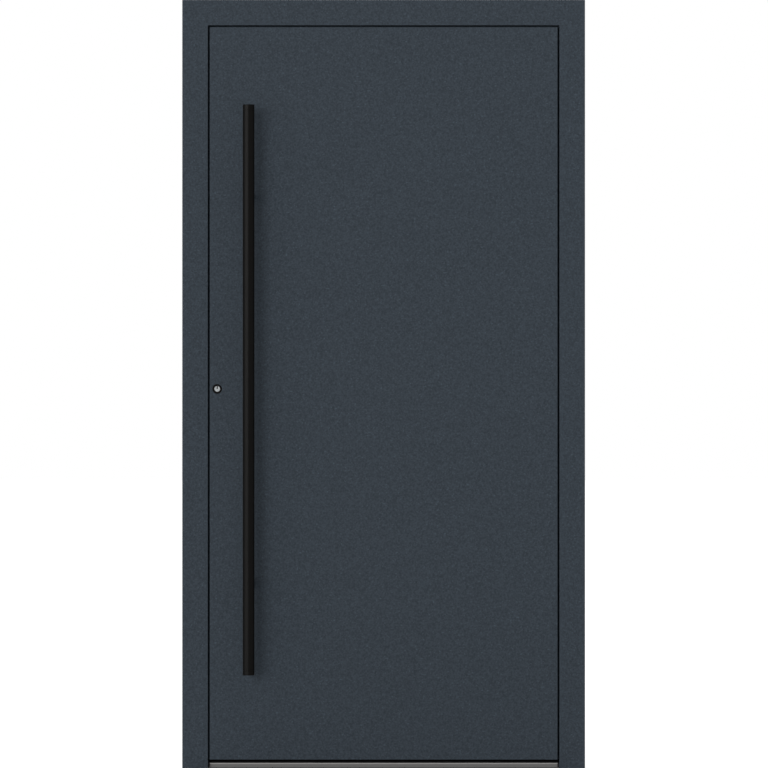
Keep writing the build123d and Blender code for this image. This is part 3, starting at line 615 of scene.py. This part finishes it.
def pull_bar():
    """Smooth round bar with a cap at each end, and a flange at the foot of each standoff."""
    low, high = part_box("pull_bar")
    centre = middle("pull_bar")
    radius = min(high.x - low.x, high.y - low.y) / 2
    place = Matrix.Translation((centre.x, centre.y, 0))
    tube = bar_length(low.z + BAR_CAP, high.z - BAR_CAP, radius, BAR_SEAM, BAR_SEAM)
    bar = piece("pull_bar_tube", copies(turned(tube, BAR_SIDES), [place]), "black_coat", "leaf")
    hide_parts("pull_bar")
    cap = turned(bar_length(0, BAR_CAP, radius, BAR_SEAM, BAR_CAP_BREAK), BAR_SIDES)
    places = [seat(centre.x, centre.y, high.z - BAR_CAP, (0, 0, 1)),
              seat(centre.x, centre.y, low.z + BAR_CAP, (0, 0, -1))]
    piece("pull_bar_caps", copies(cap, places), "black_coat", "leaf")

    post_low, post_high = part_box("pull_bar_standoffs")
    inner = STANDOFF_RADIUS + FLANGE_FIT
    ring = [(inner, 0), (FLANGE_RADIUS, 0), (FLANGE_RADIUS, FLANGE - FLANGE_BREAK),
            (FLANGE_RADIUS - FLANGE_BREAK, FLANGE), (inner, FLANGE)]
    places = [seat(centre.x, FACE, height, (0, -1, 0))
              for height in (post_low.z + STANDOFF_RADIUS, post_high.z - STANDOFF_RADIUS)]
    flange = turned(ring, FLANGE_SIDES, closed=True)
    piece("standoff_flanges", copies(flange, places), "black_coat", "leaf")


# Studio
def seen_in_view(tree):
    """1 for what the camera sees, straight on, in gloss or through glass."""
    path = tree.nodes.new("ShaderNodeLightPath").outputs
    seen = maths(tree, "MAXIMUM", path["Is Camera Ray"], path["Is Glossy Ray"])
    return maths(tree, "MAXIMUM", seen, path["Is Transmission Ray"])


def shown_or_lit(tree, shown, lit, output):
    """One shader where it is seen, another where it lights the object."""
    mix = tree.nodes.new("ShaderNodeMixShader")
    link(tree, seen_in_view(tree), mix.inputs["Fac"])
    link(tree, lit.outputs[0], mix.inputs[1])
    link(tree, shown.outputs[0], mix.inputs[2])
    link(tree, mix.outputs[0], tree.nodes.new(output).inputs["Surface"])


def set_world():
    """White background, and an even sky that lights the object."""
    world = bpy.data.worlds.new("studio")
    bpy.context.scene.world = world
    world.use_nodes = True
    tree = world.node_tree
    tree.nodes.clear()
    white = add(tree, "ShaderNodeBackground", Color=(1, 1, 1, 1), Strength=1.0)
    sky = add(tree, "ShaderNodeBackground", Color=(1, 1, 1, 1), Strength=SKY_LEVEL)
    shown_or_lit(tree, white, sky, "ShaderNodeOutputWorld")


def add_floor():
    """Pale floor that shows white and keeps the object's shadow."""
    disc = bmesh.new()
    bmesh.ops.create_circle(disc, cap_ends=True, radius=FLOOR_RADIUS, segments=FLOOR_SIDES)
    mesh = bpy.data.meshes.new("floor")
    disc.to_mesh(mesh)
    disc.free()
    material = bpy.data.materials.new("floor")
    material.use_nodes = True
    tree = material.node_tree
    tree.nodes.clear()
    lit = add(tree, "ShaderNodeBsdfDiffuse", Color=(FLOOR_TONE, FLOOR_TONE, FLOOR_TONE, 1))
    shade = add(tree, "ShaderNodeBsdfDiffuse",
                Color=(FLOOR_SHOWN_TONE, FLOOR_SHOWN_TONE, FLOOR_SHOWN_TONE, 1))
    glow = add(tree, "ShaderNodeEmission", Color=(1, 1, 1, 1), Strength=FLOOR_GLOW)
    both = tree.nodes.new("ShaderNodeAddShader")
    link(tree, shade.outputs[0], both.inputs[0])
    link(tree, glow.outputs[0], both.inputs[1])
    shown_or_lit(tree, both, lit, "ShaderNodeOutputMaterial")
    mesh.materials.append(material)
    floor = bpy.data.objects.new("floor", mesh)
    bpy.context.scene.collection.objects.link(floor)


def add_camera():
    """Camera at the photograph's place: level, at half the door's height, square to it."""
    metres = (DOOR_HIGH.z - DOOR_LOW.z) / (PHOTO_FOOT - PHOTO_TOP)
    half = PHOTO_SIZE / 2
    across = (half - (PHOTO_LEFT + PHOTO_RIGHT) / 2) * metres
    up = DOOR_LOW.z + (PHOTO_FOOT - half) * metres
    data = bpy.data.cameras.new("camera")
    data.angle = 2 * math.atan(half * metres / CAMERA_DISTANCE)
    camera = bpy.data.objects.new("camera", data)
    camera.location = (across, FACE - CAMERA_DISTANCE, up)
    camera.rotation_euler = (QUARTER, 0, 0)
    bpy.context.scene.collection.objects.link(camera)
    bpy.context.scene.camera = camera


def add_lamp(name, left, rise, strength, spread=KEY_SPREAD):
    """Broad soft lamp far off, at an angle to the left of the camera's line and above the floor."""
    data = bpy.data.lights.new(name, "SUN")
    data.energy = strength
    data.angle = spread
    lamp = bpy.data.objects.new(name, data)
    travel = Vector((math.sin(left) * math.cos(rise), math.cos(left) * math.cos(rise), -math.sin(rise)))
    lamp.rotation_euler = travel.to_track_quat("-Z", "Y").to_euler()
    bpy.context.scene.collection.objects.link(lamp)
    return lamp


dress_frame()
hinge_fittings()
corner_pads()
lock_fittings()
anchor_covers()
rosettes()
lever_grub_screw()
pull_bar()
set_world()
add_floor()
add_lamp("key", KEY_LEFT, KEY_RISE, KEY_STRENGTH)
add_lamp("back_key", BACK_KEY_LEFT, BACK_KEY_RISE, BACK_KEY_STRENGTH)
strip = add_lamp("strip", STRIP_LEFT, STRIP_RISE, STRIP_STRENGTH, STRIP_SPREAD)
strip.visible_diffuse = False  # seen as a highlight on gloss alone
add_camera()
bpy.context.scene.view_settings.view_transform = "Standard"
